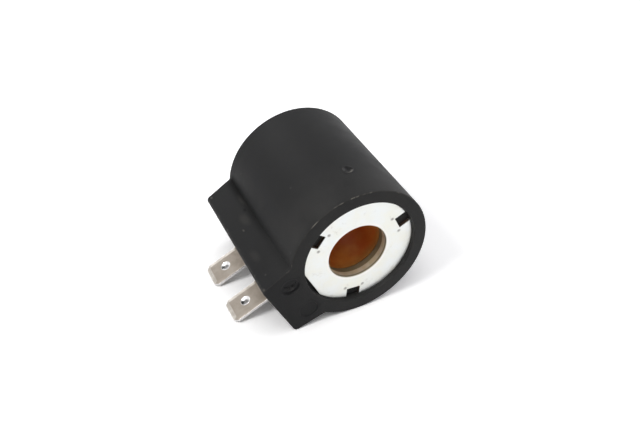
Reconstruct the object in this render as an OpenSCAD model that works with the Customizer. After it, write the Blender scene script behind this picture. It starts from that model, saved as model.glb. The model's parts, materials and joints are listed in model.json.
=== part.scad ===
// Encapsulated coil for a cartridge solenoid valve.
// A moulded housing with a terminal block grips two steel flux plates, a rolled flux shell,
// a wound bobbin and two blade terminals.
// Each piece is drawn about the bore: x towards the blades, y across the block, z to the rear.
// The whole coil is then laid down on its barrel and the terminal block's lower edge.

/* [Housing] */
// Outside diameter of the barrel
body_d = 30.5; // [30:0.1:36]
// Length of the housing from face to face
body_len = 32.8; // [31:0.1:44]
// Radius on the end edges of the housing
edge_round = 0.25; // [0.1:0.05:0.5]
// Distance from the bore axis to the outer face of the terminal block
block_reach = 19.75; // [19.4:0.05:26]
// Width of the terminal block at its outer face
block_w = 15.3; // [14:0.1:18]
// Distance of the block's rear end short of the barrel's rear face
block_short = 0.6; // [0.4:0.05:1.2]
// Draft on each side of the terminal block, in degrees
block_draft = 7; // [1:0.5:9]
// Radius on the long outer corners of the terminal block
block_round = 1; // [0.4:0.1:2]
// Fillet where the terminal block meets the barrel
block_fillet = 0.5; // [0.2:0.1:1.2]

/* [Housing marks] */
// Diameter of the pits left by the pins that centre the coil in the mould
pin_pit_d = 2.1; // [1:0.1:3]
// Depth of those pits
pin_pit_depth = 0.5; // [0.2:0.05:0.8]
// Distance of the pits behind the front face
pin_pit_back = 8.25; // [5:0.05:14]
// Angle of the pits round the bore from the blades, in degrees
pin_pit_angle = 120; // [100:1:140]
// Diameter of the gate well and ejector marks on the end faces of the block
mark_d = 4; // [2:0.1:4.2]
// Depth of the gate well
gate_depth = 0.35; // [0.1:0.05:0.6]
// Depth of the ejector marks
ejector_depth = 0.12; // [0.05:0.01:0.3]
// Distance of the front marks from the bore axis along the block
mark_reach = 14.8; // [14.5:0.05:16]
// Distance of the marks from the middle of the block
mark_side = 4.4; // [4:0.05:5]

/* [Flux plates] */
// Diameter of the plates
plate_d = 24.2; // [23.8:0.1:24.6]
// Distance of the plates' outlines from the bore axis, away from the terminal block
plate_shift = 0.27; // [0.05:0.01:0.4]
// Thickness of the plates
plate_t = 3; // [2.2:0.1:3.4]
// Depth of the plates' outer faces below the end faces of the housing
plate_recess = 0.9; // [0.6:0.05:1.4]
// Widening of the recess from the plate's edge to the end face
mouth_flare = 0.24; // [0.1:0.02:0.8]
// Width of the three notches in the edge of each plate
notch_w = 3; // [2:0.1:4]
// Distance of those notches' floors from the bore axis
notch_root = 9.75; // [9.4:0.05:10.6]
// Depth of the flat on the side of the terminal block
flat_depth = 0.6; // [0.3:0.05:1]
// Depth of the moulded keys below the plate's face
key_sink = 0.8; // [0.3:0.05:1]
// Diameter of the stake pits beside the notches
stake_d = 0.5; // [0.3:0.05:0.8]
// Depth of those pits
stake_depth = 0.15; // [0.05:0.05:0.2]
// Distance of the stake pits from the bore axis, along each notch's direction
stake_reach = 9.25; // [8.5:0.05:9.4]
// Distance of the stake pits from each notch's middle
stake_side = 2; // [1.8:0.05:2.6]

/* [Flux shell] */
// Wall of the rolled shell
shell_t = 1.5; // [1:0.1:1.7]
// Width of the shell's opening towards the terminal block
shell_gap = 10.6; // [10:0.1:11.4]
// Distance of the shell's ends below the end faces of the housing
shell_cover = 2.75; // [2.6:0.05:3.2]

/* [Bobbin and winding] */
// Bore of the bobbin, a slip fit on a half-inch valve tube
bore_d = 12.8; // [12:0.1:13.6]
// Wall of the bobbin's tube
tube_t = 1; // [0.8:0.05:1.4]
// Thickness of the bobbin's flanges
flange_t = 1.3; // [1.2:0.05:1.6]
// Diameter of the winding wire over its enamel
wire_d = 0.35; // [0.3:0.01:0.45]
// Thickness of the tape over the winding
tape_t = 0.12; // [0.06:0.02:0.2]
// Outside diameter of the tubing on the leads
tubing_d = 0.9; // [0.7:0.05:1]

/* [Terminals] */
// Width of the blades
blade_w = 6.35; // [4.8:0.05:6.5]
// Thickness of the blades
blade_t = 0.8; // [0.5:0.05:0.9]
// Length of the blades outside the terminal block
blade_len = 9.15; // [8:0.05:11]
// Distance between the blades' centre lines
blade_pitch = 11.65; // [10.5:0.05:12.5]
// Distance of the pair's middle in front of the housing's middle
blade_forward = 0.65; // [0:0.05:1]
// Distance of the blades below the middle of the terminal block
blade_drop = 2.5; // [2:0.05:2.6]
// Diameter of the detent holes
hole_d = 1.9; // [1.5:0.05:2.2]
// Distance of the detent holes from the blades' tips
hole_from_tip = 4.15; // [3.5:0.05:5]
// Width of the coined bevel round each blade
bevel_w = 0.9; // [0.4:0.05:1.2]
// Depth of that bevel on each face
bevel_h = 0.2; // [0.1:0.02:0.24]
// Length of full-thickness blade next to the terminal block
plain_len = 1.3; // [0.5:0.1:2]
// Chamfer across the corners of the blades' tips
tip_chamfer = 0.9; // [0.5:0.05:1.5]

/* [Hidden] */
$fn = 96;

// Clearances
mould_gap = 0.03;
plate_bore_gap = 0.03;
slip_gap = 0.05;
bobbin_gap = 0.15;
lead_gap = 0.15;
cut_over = 1;

// Stations along the bore, measured from the middle of the housing
face_z = body_len / 2;
block_end_z = face_z - block_short;
plate_face_z = face_z - plate_recess;
plate_back_z = plate_face_z - plate_t;
bobbin_half = plate_back_z - slip_gap;
window_half = bobbin_half - flange_t;
shell_half = face_z - shell_cover;

// Radii from the bore outwards
bore_r = bore_d / 2;
tube_r = bore_r + tube_t;
plate_r = plate_d / 2;
shell_ir = plate_r + slip_gap;
shell_or = shell_ir + shell_t;
shell_reach = shell_or - plate_shift;
flange_r = shell_ir - plate_shift - bobbin_gap;
body_r = body_d / 2;
mouth_r = plate_r + mouth_flare;
flat_x = plate_r - plate_shift - flat_depth;
seat_r = plate_r + mould_gap;

// Winding: whole turns and whole layers that fit between the flanges and under the tape
wire_r = wire_d / 2;
turn_groove = wire_r * 0.7;
tape_room = 2 * tape_t + 2 * slip_gap;
turns = floor((2 * window_half - 2 * slip_gap) / wire_d);
layers = floor((flange_r - tape_room - tube_r - slip_gap) / wire_d);
winding_half = turns * wire_d / 2;
winding_r = tube_r + slip_gap + layers * wire_d;
tape_ir = winding_r + slip_gap;
tape_or = tape_ir + tape_t;
tape_lap_angle = 40;

// Terminal carrier: a saddle on the tape, in the opening of the flux shell
carrier_rise = 1.6;
carrier_skirt = 0.9;
carrier_r = tape_or + slip_gap;
carrier_top = shell_reach + carrier_rise;
carrier_hw = shell_gap / 2 - bobbin_gap - slip_gap;
lead_bay = 1.8;
carrier_half = window_half - lead_bay;
tongue_w = 2.4;
tongue_y = 2.6;
tongue_sink = 1.3;
tongue_engage = flange_t * 0.7;
lug_root = 1;

// Terminals: foot in the carrier, tag for the lead, shoulder, blade
foot_w = 3.4;
foot_depth = 2.2;
tag_h = 1.2;
tag_rise = 0.3;
tag_x = carrier_top + tag_rise + tag_h / 2;
tag_over = 0.7;
anchor_d = 1.6;
tip_x = block_reach + blade_len;
hole_x = tip_x - hole_from_tip;
blade_y = -blade_drop;
front_blade_z = -blade_forward - blade_pitch / 2;
rear_blade_z = -blade_forward + blade_pitch / 2;

// Leads: up a groove in the flange, then wrapped round the tag
groove_depth = wire_d + 2 * lead_gap;
lead_z = window_half + groove_depth / 2;
wrap_r = norm([tag_h / 2, blade_t / 2]) + wire_r + slip_gap / 2;
wrap_turns = 3;
wrap_pitch = wire_d * 1.1;
wrap_span = wrap_turns * wrap_pitch + wire_r + lead_gap;
wrap_steps = 16;
bend_r = groove_depth / 2;
bend_steps = 4;
wire_sides = 8;
lead_y = blade_y + wrap_r;
tubing_bore_r = wire_r + slip_gap / 2;
tubing_from = flange_r + 2 * lead_gap;
tubing_to = tag_x - wrap_r - 2 * lead_gap;
solder_r = wrap_r + wire_r;
pocket_r = solder_r + lead_gap;
shoulder_x = tag_x + pocket_r + lead_gap;
anchor_x = (shoulder_x + block_reach) / 2;
start_lead_r = tube_r + slip_gap + wire_r;
finish_lead_r = winding_r - wire_d;
function lead_x(start_r) = sqrt(start_r ^ 2 - lead_y ^ 2);
groove_root = lead_x(start_lead_r) - wire_r - slip_gap;

// Terminal block outline: half width at a distance along x, its corner centre, and where a line
// parallel to its side, a distance further out, crosses a circle about the bore
draft_k = tan(block_draft);
draft_n = norm([1, draft_k]);
function block_half(x) = block_w / 2 + draft_k * (block_reach - x);
corner_x = block_reach - block_round;
corner_y = block_half(corner_x) - block_round * draft_n;
function side_half(out) = block_half(0) + out * draft_n;
function side_x(out, r) =
    (side_half(out) * draft_k + sqrt((r * draft_n) ^ 2 - side_half(out) ^ 2)) / draft_n ^ 2;
block_root = side_x(0, body_r) - cut_over;
fillet_x = side_x(block_fillet, body_r + block_fillet);
fillet_y = side_half(block_fillet) - draft_k * fillet_x;

// Place of the marks on the block's rear end
rear_mark_reach = sqrt((body_r + mark_d / 2 + edge_round) ^ 2 - mark_side ^ 2);

// Tilt of the block below the level when the coil lies on its barrel and the block's edge
rest_tilt = asin((body_r - block_round) / norm([corner_x, corner_y])) - atan2(corner_y, corner_x);

notch_angles = [60, 180, 300];
ends = [-1, 1];
steel = [0.62, 0.63, 0.65];
zinc = [0.90, 0.90, 0.88];
tin = [0.72, 0.69, 0.64];
copper = [0.72, 0.42, 0.22];
amber = [0.72, 0.36, 0.10];

// Lays a piece down from its place about the bore
module laid() {
    rotate([-90, 180 - rest_tilt, 0])
        children();
}

// Turns a shape drawn at the rear end to the front or the rear end
module at_end(side) {
    if (side > 0)
        children();
    else
        mirror([0, 0, 1]) children();
}

// A box from one corner to the opposite one
module box(low, high) {
    translate(low)
        cube(high - low);
}

// Barrel with rounded end edges
module barrel() {
    rotate_extrude()
        union() {
            translate([0, -face_z])
                square([body_r - edge_round, body_len]);
            translate([0, edge_round - face_z])
                square([body_r, body_len - 2 * edge_round]);
            for (side = ends)
                translate([body_r - edge_round, side * (face_z - edge_round)])
                    circle(edge_round);
        }
}

// Outline of the terminal block: drafted sides, rounded corners, fillets onto the barrel
module block_outline() {
    for (side = ends)
        scale([1, side, 1]) {
            polygon([
                [block_root, 0],
                [block_root, block_half(block_root)],
                [corner_x + block_round * draft_k / draft_n, corner_y + block_round / draft_n],
                [corner_x, corner_y],
                [block_reach, corner_y],
                [block_reach, 0]
            ]);
            translate([corner_x, corner_y])
                circle(block_round);
            difference() {
                polygon([
                    [block_root, block_half(block_root)],
                    [fillet_x, fillet_y] * body_r / (body_r + block_fillet),
                    [fillet_x, fillet_y],
                    [fillet_x - block_fillet * draft_k / draft_n, fillet_y - block_fillet / draft_n]
                ]);
                translate([fillet_x, fillet_y])
                    circle(block_fillet);
            }
        }
}

// Bar that rounds a straight edge lying along x, the solid being at -y and -z
module edge_rounder(length) {
    rotate([90, 0, 90])
        linear_extrude(length)
            difference() {
                translate([-edge_round, -edge_round])
                    square(2 * edge_round);
                translate([-edge_round, -edge_round])
                    circle(edge_round);
            }
}

// Terminal block with its end edges rounded
module terminal_block() {
    difference() {
        translate([0, 0, -face_z])
            linear_extrude(body_len - block_short)
                block_outline();
        for (end = ends)
            at_end(end) {
                end_z = end > 0 ? block_end_z : face_z;
                translate([block_reach, block_w, end_z])
                    rotate([0, 0, -90])
                        edge_rounder(2 * block_w);
                for (side = ends)
                    scale([1, side, 1])
                        translate([fillet_x, block_half(fillet_x), end_z])
                            rotate([0, 0, -block_draft])
                                edge_rounder(block_reach);
            }
    }
}

// Recess over a flux plate, flaring from the plate's edge to the end face
module mouth() {
    translate([-plate_shift, 0, plate_face_z])
        cylinder(h = plate_recess, r1 = seat_r, r2 = mouth_r);
}

// Outline of a flux plate, drawn smaller by a gap where the housing keys into it
module plate_outline(gap = 0) {
    difference() {
        translate([-plate_shift, 0])
            circle(plate_r + gap);
        for (angle = notch_angles)
            rotate(angle)
                translate([notch_root + gap, gap - notch_w / 2])
                    square([body_r - notch_root, notch_w - 2 * gap]);
        translate([flat_x + gap, -plate_r])
            square([body_r - flat_x, plate_d]);
    }
}

// Space that one end of the coil takes in the housing, with the keys left standing in it
module plate_space() {
    linear_extrude(plate_face_z - key_sink)
        plate_outline(mould_gap);
    translate([-plate_shift, 0, 0])
        cylinder(h = shell_half, r = shell_ir);
    translate([-plate_shift, 0, plate_face_z - key_sink])
        cylinder(h = key_sink, r = seat_r);
}

// Pits punched into the plate's face on both sides of a notch
module stake_pits() {
    for (side = ends)
        translate([stake_reach, side * stake_side, plate_face_z - stake_depth])
            cylinder(h = 2 * stake_depth, d1 = 0, d2 = 2 * stake_d);
}

module flux_plate() {
    difference() {
        translate([0, 0, plate_back_z])
            linear_extrude(plate_t)
                difference() {
                    plate_outline();
                    circle(bore_r + plate_bore_gap);
                }
        for (angle = notch_angles)
            rotate(angle)
                stake_pits();
    }
}

// Rolled shell, open towards the terminal block, with a wall that may be grown by a gap
module rolled_shell(gap = 0) {
    translate([0, 0, -shell_half - gap])
        linear_extrude(2 * (shell_half + gap))
            difference() {
                translate([-plate_shift, 0])
                    difference() {
                        circle(shell_or + gap);
                        circle(shell_ir);
                    }
                translate([0, gap - shell_gap / 2])
                    square([body_r, shell_gap - 2 * gap]);
            }
}

// Lug on a flange that stands in the shell's opening and holds the carrier's tongue
module flange_lug(gap = 0) {
    box([flange_r - lug_root, -carrier_hw - gap, window_half - gap],
        [shell_reach + gap, carrier_hw + gap, bobbin_half]);
}

module tongue(gap = 0) {
    box([shell_reach - tongue_sink - gap, tongue_y - tongue_w / 2 - gap, carrier_half - mould_gap],
        [shell_reach + gap, tongue_y + tongue_w / 2 + gap, window_half + tongue_engage + gap]);
}

// Saddle under the terminals, without its slots
module carrier_block(gap = 0) {
    translate([0, 0, -carrier_half - gap])
        linear_extrude(2 * (carrier_half + gap))
            difference() {
                translate([carrier_r - carrier_skirt, -carrier_hw - gap])
                    square([carrier_top + gap - carrier_r + carrier_skirt, 2 * (carrier_hw + gap)]);
                circle(carrier_r);
            }
}

// Cross-section of a blade: a flat strip of a given width, bevelled on all four long edges
module bevelled_section(width) {
    half_w = width / 2;
    half_t = blade_t / 2;
    polygon([
        [-half_w, bevel_h - half_t], [bevel_w - half_w, -half_t],
        [half_w - bevel_w, -half_t], [half_w, bevel_h - half_t],
        [half_w, half_t - bevel_h], [half_w - bevel_w, half_t],
        [bevel_w - half_w, half_t], [-half_w, half_t - bevel_h]
    ]);
}

// Blade outside the block: bevelled sides and tip, chamfered tip corners, detent hole
module blade() {
    half_w = blade_w / 2;
    difference() {
        intersection() {
            translate([block_reach, 0, 0])
                rotate([90, 0, 90])
                    linear_extrude(blade_len)
                        rotate(90)
                            bevelled_section(blade_w);
            translate([block_reach, 0, -half_w])
                linear_extrude(blade_w)
                    bevelled_section(2 * blade_len);
            rotate([90, 0, 0])
                linear_extrude(blade_t, center = true)
                    polygon([
                        [block_reach, -half_w], [tip_x - tip_chamfer, -half_w],
                        [tip_x, tip_chamfer - half_w], [tip_x, half_w - tip_chamfer],
                        [tip_x - tip_chamfer, half_w], [block_reach, half_w]
                    ]);
        }
        translate([hole_x, 0, 0])
            rotate([90, 0, 0])
                cylinder(h = 2 * blade_t, d = hole_d, center = true);
    }
}

// Terminal without its bevelled blade: foot, tag, shoulder over the wraps, plain root of the blade
module terminal_root(blade_z, side, gap = 0) {
    translate([0, blade_t / 2 + gap, 0])
        rotate([90, 0, 0])
            linear_extrude(blade_t + 2 * gap) {
                translate([carrier_top - foot_depth - gap, blade_z - foot_w / 2 - gap])
                    square([block_reach - carrier_top + foot_depth, foot_w + 2 * gap]);
                translate([shoulder_x - gap, blade_z - blade_w / 2 - gap])
                    square([block_reach + plain_len - shoulder_x + gap, blade_w + 2 * gap]);
                translate([tag_x - tag_h / 2 - gap, min(blade_z, side * (lead_z + tag_over)) - gap])
                    square([tag_h + 2 * gap, abs(side * (lead_z + tag_over) - blade_z) + 2 * gap]);
            }
}

module terminal(blade_z, side) {
    translate([0, blade_y, 0]) {
        difference() {
            terminal_root(blade_z, side);
            translate([anchor_x, 0, blade_z])
                rotate([90, 0, 0])
                    cylinder(h = 2 * blade_t, d = anchor_d, center = true);
        }
        translate([0, 0, blade_z])
            blade();
    }
}

// Route of a lead: off the winding, a bend into the flange's groove, then a helix round the tag
function lead_route(start_x) = concat(
    [[start_x, lead_y, winding_half + slip_gap / 2]],
    [for (step = [0 : bend_steps])
        let (angle = 90 * step / bend_steps)
        [start_x + bend_r * (1 - cos(angle)), lead_y, lead_z - bend_r * (1 - sin(angle))]],
    [for (step = [0 : wrap_turns * wrap_steps])
        let (angle = 90 - 360 * step / wrap_steps)
        [tag_x + wrap_r * cos(angle), blade_y + wrap_r * sin(angle), lead_z - wrap_pitch * step / wrap_steps]]
);

function unit(vector) = vector / norm(vector);

function heading(route, i) = unit(route[min(i + 1, len(route) - 1)] - route[max(i - 1, 0)]);

function levelled(normal, direction) = unit(normal - (normal * direction) * direction);

// Normals carried along a route without twist
function carried_normals(route, first) = [
    for (i = 0, normal = levelled(first, heading(route, 0));
         i < len(route);
         i = i + 1, normal = levelled(normal, heading(route, i)))
        normal
];

// Round wire along a route
module wire_along(route, first_normal) {
    normals = carried_normals(route, first_normal);
    rings = len(route);
    points = [
        for (i = [0 : rings - 1])
            let (side = cross(heading(route, i), normals[i]))
            for (k = [0 : wire_sides - 1])
                let (angle = 360 * k / wire_sides)
                route[i] + wire_r * (cos(angle) * normals[i] + sin(angle) * side)
    ];
    walls = [
        for (i = [0 : rings - 2])
            for (k = [0 : wire_sides - 1])
                let (here = i * wire_sides, next = here + wire_sides, m = (k + 1) % wire_sides)
                for (face = [[here + k, next + k, next + m], [here + k, next + m, here + m]])
                    face
    ];
    caps = [
        [for (k = [0 : wire_sides - 1]) k],
        [for (k = [wire_sides - 1 : -1 : 0]) (rings - 1) * wire_sides + k]
    ];
    polyhedron(points, concat(walls, caps));
}

// Lead that leaves the winding at a given radius
module lead(start_r) {
    wire_along(lead_route(lead_x(start_r)), [1, 0, 0]);
}

module lead_tubing() {
    translate([tubing_from, lead_y, lead_z])
        rotate([0, 90, 0])
            linear_extrude(tubing_to - tubing_from)
                difference() {
                    circle(d = tubing_d);
                    circle(tubing_bore_r);
                }
}

// Bead that caps the tag and the last turn of the lead
module solder_bead() {
    bead_z = lead_z + wire_r + slip_gap / 2;
    difference() {
        translate([tag_x, blade_y, bead_z])
            intersection() {
                sphere(solder_r);
                cylinder(h = solder_r, r = solder_r);
            }
        box([tag_x - tag_h / 2, blade_y - blade_t / 2, 0],
            [tag_x + tag_h / 2, blade_y + blade_t / 2, lead_z + tag_over]);
    }
}

// Space at one end of the block for the lead, its tubing, the wraps and the bead
module lead_space() {
    box([flange_r, lead_y - tubing_d / 2 - mould_gap, carrier_half],
        [tag_x, lead_y + tubing_d / 2 + mould_gap, lead_z + tubing_d / 2 + mould_gap]);
    translate([tag_x, blade_y, lead_z - wrap_span])
        cylinder(h = wrap_span + wire_r + solder_r + lead_gap, r = pocket_r);
}

// Shallow round mark on an end face, on one side of the block
module face_mark(side, depth) {
    translate([mark_reach, side * mark_side, face_z - depth])
        cylinder(h = depth + cut_over, d = mark_d);
}

// The like mark on the block's rear end, clear of the barrel's rim
module rear_mark(side) {
    translate([rear_mark_reach, side * mark_side, block_end_z - ejector_depth])
        cylinder(h = ejector_depth + block_short, d = mark_d);
}

// Pit left in the barrel by a centring pin of the mould
module pin_pit(angle) {
    pit_r = (pin_pit_d ^ 2 / 4 + pin_pit_depth ^ 2) / (2 * pin_pit_depth);
    rotate(angle)
        translate([body_r - pin_pit_depth + pit_r, 0, pin_pit_back - face_z])
            sphere(pit_r);
}

// Vestige left standing in the gate well
module gate_vestige() {
    vestige_d = mark_d * 0.25;
    translate([mark_reach, mark_side, -face_z])
        cylinder(h = gate_depth, d = vestige_d);
}

module moulded_housing() {
    color([0.13, 0.13, 0.14])
        laid() {
            difference() {
                union() {
                    barrel();
                    terminal_block();
                }
                for (side = ends)
                    at_end(side) {
                        mouth();
                        plate_space();
                        flange_lug(mould_gap);
                        tongue(mould_gap);
                        lead_space();
                    }
                rolled_shell(mould_gap);
                carrier_block(mould_gap);
                translate([0, blade_y, 0]) {
                    terminal_root(front_blade_z, -1, mould_gap);
                    terminal_root(rear_blade_z, 1, mould_gap);
                }
                for (side = ends)
                    pin_pit(side * pin_pit_angle);
                at_end(-1) {
                    face_mark(1, gate_depth);
                    face_mark(-1, ejector_depth);
                }
                for (side = ends)
                    rear_mark(side);
            }
            gate_vestige();
        }
}

module front_flux_plate() {
    color(zinc)
        laid()
            at_end(-1)
                flux_plate();
}

module rear_flux_plate() {
    color(zinc)
        laid()
            flux_plate();
}

module flux_shell() {
    color(steel)
        laid()
            rolled_shell();
}

module bobbin() {
    color(amber)
        laid()
            difference() {
                union() {
                    translate([0, 0, -bobbin_half])
                        cylinder(h = 2 * bobbin_half, r = tube_r);
                    for (side = ends)
                        at_end(side) {
                            translate([0, 0, window_half])
                                cylinder(h = flange_t, r = flange_r);
                            flange_lug();
                        }
                }
                cylinder(h = 2 * body_len, r = bore_r, center = true);
                for (side = ends)
                    at_end(side) {
                        box([groove_root, lead_y - wire_r - lead_gap, window_half],
                            [body_r, lead_y + wire_r + lead_gap, window_half + groove_depth]);
                        box([tubing_from - lead_gap, lead_y - tubing_d / 2 - slip_gap, window_half],
                            [body_r, lead_y + tubing_d / 2 + slip_gap, lead_z + tubing_d / 2 + slip_gap]);
                        box([shell_reach - tongue_sink - slip_gap, tongue_y - tongue_w / 2 - slip_gap, 0],
                            [body_r, tongue_y + tongue_w / 2 + slip_gap, window_half + tongue_engage + slip_gap]);
                    }
            }
}

// Winding, with the turns of its outer layer as ridges
module winding() {
    inner_r = tube_r + slip_gap;
    valley_r = winding_r - turn_groove;
    color(copper)
        laid()
            rotate_extrude()
                polygon(concat(
                    [[inner_r, winding_half], [inner_r, -winding_half]],
                    [for (turn = [0 : turns - 1])
                        each [
                            [valley_r, turn * wire_d - winding_half],
                            [winding_r, (turn + 0.5) * wire_d - winding_half]
                        ]],
                    [[valley_r, winding_half]]
                ));
}

module winding_tape() {
    lap_r = tape_or + tape_t;
    color([0.85, 0.68, 0.20])
        laid()
            translate([0, 0, -winding_half])
                linear_extrude(2 * winding_half)
                    difference() {
                        union() {
                            circle(tape_or);
                            intersection() {
                                circle(lap_r);
                                rotate(180 - tape_lap_angle / 2)
                                    polygon([
                                        [0, 0],
                                        [2 * lap_r, 0],
                                        [2 * lap_r, 2 * lap_r * tan(tape_lap_angle)]
                                    ]);
                            }
                        }
                        circle(tape_ir);
                    }
}

module terminal_carrier() {
    color(amber)
        laid()
            difference() {
                union() {
                    carrier_block();
                    for (side = ends)
                        at_end(side)
                            tongue();
                }
                for (blade_z = [front_blade_z, rear_blade_z])
                    box([carrier_top - foot_depth - slip_gap, blade_y - blade_t / 2 - slip_gap,
                         blade_z - foot_w / 2 - slip_gap],
                        [body_r * 2, blade_y + blade_t / 2 + slip_gap, blade_z + foot_w / 2 + slip_gap]);
            }
}

module front_terminal() {
    color(tin)
        laid()
            terminal(front_blade_z, -1);
}

module rear_terminal() {
    color(tin)
        laid()
            terminal(rear_blade_z, 1);
}

module start_lead() {
    color(copper)
        laid()
            at_end(-1)
                lead(start_lead_r);
}

module finish_lead() {
    color(copper)
        laid()
            lead(finish_lead_r);
}

module start_lead_tubing() {
    color([0.90, 0.88, 0.80])
        laid()
            at_end(-1)
                lead_tubing();
}

module finish_lead_tubing() {
    color([0.90, 0.88, 0.80])
        laid()
            lead_tubing();
}

module front_solder_joint() {
    color([0.75, 0.76, 0.78])
        laid()
            at_end(-1)
                solder_bead();
}

module rear_solder_joint() {
    color([0.75, 0.76, 0.78])
        laid()
            solder_bead();
}

moulded_housing();
front_flux_plate();
rear_flux_plate();
flux_shell();
bobbin();
winding();
winding_tape();
terminal_carrier();
front_terminal();
rear_terminal();
start_lead();
finish_lead();
start_lead_tubing();
finish_lead_tubing();
front_solder_joint();
rear_solder_joint();
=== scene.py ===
import json
import bpy
import numpy as np
from mathutils import Matrix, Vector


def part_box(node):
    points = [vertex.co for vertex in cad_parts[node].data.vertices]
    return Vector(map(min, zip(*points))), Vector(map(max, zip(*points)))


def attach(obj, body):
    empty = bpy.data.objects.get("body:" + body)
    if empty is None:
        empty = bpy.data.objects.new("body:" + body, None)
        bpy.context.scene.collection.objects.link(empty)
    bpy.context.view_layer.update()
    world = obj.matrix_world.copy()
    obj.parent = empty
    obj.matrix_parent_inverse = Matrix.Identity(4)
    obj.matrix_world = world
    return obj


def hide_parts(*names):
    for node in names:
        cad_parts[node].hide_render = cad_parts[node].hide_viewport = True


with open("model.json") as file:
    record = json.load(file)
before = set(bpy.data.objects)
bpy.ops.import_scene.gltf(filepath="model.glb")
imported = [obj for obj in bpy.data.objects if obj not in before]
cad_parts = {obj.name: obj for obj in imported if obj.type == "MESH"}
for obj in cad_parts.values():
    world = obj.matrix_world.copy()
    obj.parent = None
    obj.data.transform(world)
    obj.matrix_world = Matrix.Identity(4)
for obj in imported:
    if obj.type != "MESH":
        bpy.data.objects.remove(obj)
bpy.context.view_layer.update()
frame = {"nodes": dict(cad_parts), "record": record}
print("frame loaded:", len(frame["nodes"]), "pieces")

# The coil's own axes: u out along the blades, v across the terminal block, w along the bore to the rear.
# Sizes are in millimetres and angles in degrees, unless a note says otherwise.
mm = 0.001
mounts = {mount["name"]: mount for mount in frame["record"]["mounts"]}
uAxis = np.array(mounts["front_blade"]["axis"])
wAxis = -np.array(mounts["bore"]["axis"])
vAxis = np.cross(wAxis, uAxis)
housingLow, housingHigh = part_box("moulded_housing")
faceW = housingHigh.y / mm  # end faces of the housing, from the middle
floorZ = housingLow.z  # in metres: the coil lies on its barrel and on the block's lower corner
bodyR = -floorZ / mm
ends = {"front": -1, "rear": 1}
pieces = []  # what is made here, each with the slot of its material


def toRow(u, v, w):
    # Points in the row frame, in metres, from coil coordinates
    u, v, w = np.broadcast_arrays(u, v, w)
    return (u[..., None] * uAxis + v[..., None] * vAxis + w[..., None] * wAxis) * mm


def polar(radius, degrees):
    angle = np.radians(degrees)
    return np.stack([radius * np.cos(angle), radius * np.sin(angle)], axis=-1)


def axesAt(degrees):
    # Unit direction at an angle round the bore, and the one square to it
    along = polar(1, degrees)
    return along, np.array([-along[1], along[0]])


def bearing(points):
    # Angle round the bore, from 0 to 360
    return np.degrees(np.arctan2(points[..., 1], points[..., 0])) % 360


def unitOf(vectors):
    return vectors / np.linalg.norm(vectors, axis=-1, keepdims=True)


def between(first, last, count):
    # Steps from first to last without the last one
    return np.linspace(first, last, count, endpoint=False)


def fade(value, first, last):
    # 0 at first, 1 at last, straight between and level beyond
    return np.clip((value - first) / (last - first), 0, 1)


def clearOf(steps, others, gap):
    # The steps that keep more than a gap from all the others
    return steps[np.min(np.abs(steps[:, None] - others), axis=1) > gap]


def squaredOff(aim, radius, reach, half):
    # Distance in each direction to a circle that squares off into a box towards u
    least = 1e-6  # keeps the divisions finite
    toEnd = reach / np.maximum(aim[:, 0], least)
    toSide = half / np.maximum(np.abs(aim[:, 1]), least)
    return np.maximum(radius, np.where(aim[:, 0] > 0, np.minimum(toEnd, toSide), 0))


def chordEnd(centre, radius, degrees, lateral):
    # Where a line beside a direction, at a lateral distance from the bore, meets a circle
    along, across = axesAt(degrees)
    out = along @ centre + np.sqrt(radius ** 2 - (lateral - across @ centre) ** 2)
    return out * along + lateral * across


def inset(loop, distance):
    # Closed outline moved inwards: each corner goes back along the mitre of its two edges
    edge = np.roll(loop, -1, axis=0) - loop
    normal = unitOf(np.stack([edge[:, 1], -edge[:, 0]], axis=1))
    before = np.roll(normal, 1, axis=0)
    mitre = (before + normal) / (1 + np.sum(before * normal, axis=1, keepdims=True))
    return loop - distance * mitre


def stacked(rows, index, columns):
    # One entry of every row, spread over the columns
    return np.stack([np.broadcast_to(row[index], columns) for row in rows])


def ringFaces(rows, columns, holes=()):
    # Quads of a grid that closes on itself both ways, without the cells of the holes
    keep = np.ones((rows, columns), bool)
    for top, bottom, left, right in holes:
        keep[top:bottom, left:right] = False
    row, column = np.nonzero(keep)
    nextRow = (row + 1) % rows
    nextColumn = (column + 1) % columns
    corners = [row * columns + column, row * columns + nextColumn,
               nextRow * columns + nextColumn, nextRow * columns + column]
    return np.stack(corners, axis=1)


def holeRim(hole, columns):
    # Vertices round a hole in the grid, in order
    top, bottom, left, right = hole
    across, down = np.arange(left, right), np.arange(top, bottom)
    row = np.concatenate([np.full(len(across), top), down, np.full(len(across), bottom), down[::-1] + 1])
    column = np.concatenate([across, np.full(len(down), right), across[::-1] + 1, np.full(len(down), left)])
    return row * columns + column


def flatFill(hole, profile, flatUV, centre, level):
    # Fill of a hole in a flat end: the way from its own plane to the piece, with depths inwards from the end
    return {"hole": hole, "profile": profile, "local": lambda rim: flatUV[rim] - centre,
            "place": lambda a, b, d: toRow(centre[0] + a, centre[1] + b, level - np.sign(level) * d)}


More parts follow.
